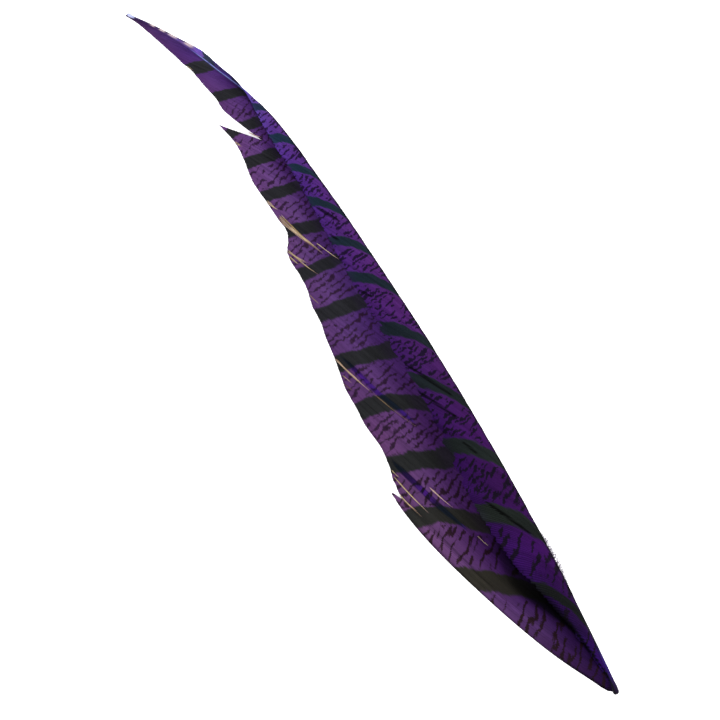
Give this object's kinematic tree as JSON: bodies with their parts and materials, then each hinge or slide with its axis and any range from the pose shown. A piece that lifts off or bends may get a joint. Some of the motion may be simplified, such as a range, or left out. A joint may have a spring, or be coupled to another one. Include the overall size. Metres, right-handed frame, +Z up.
{
  "type": "pheasant tail feather",
  "caption": "Long dyed pheasant tail feather lying flat: broad barred vane with a split, jagged rim, and a narrow vane folded back over the shaft.",
  "frame": {"origin": "middle of the feather's bounding box, at the height of the surface that it lies on", "axes": "+X runs from the tip to the quill end, +Y across the feather towards the shaft's side, +Z up from the surface"},
  "size_m": [0.3802, 0.0583, 0.0098],
  "materials": {
    "dyed_feather": "satin dyed feather barbs, purple with dark bars"
  },
  "bodies": {
    "root": {"pheasant_tail_feather": "dyed_feather"}
  },
  "joints": []
}
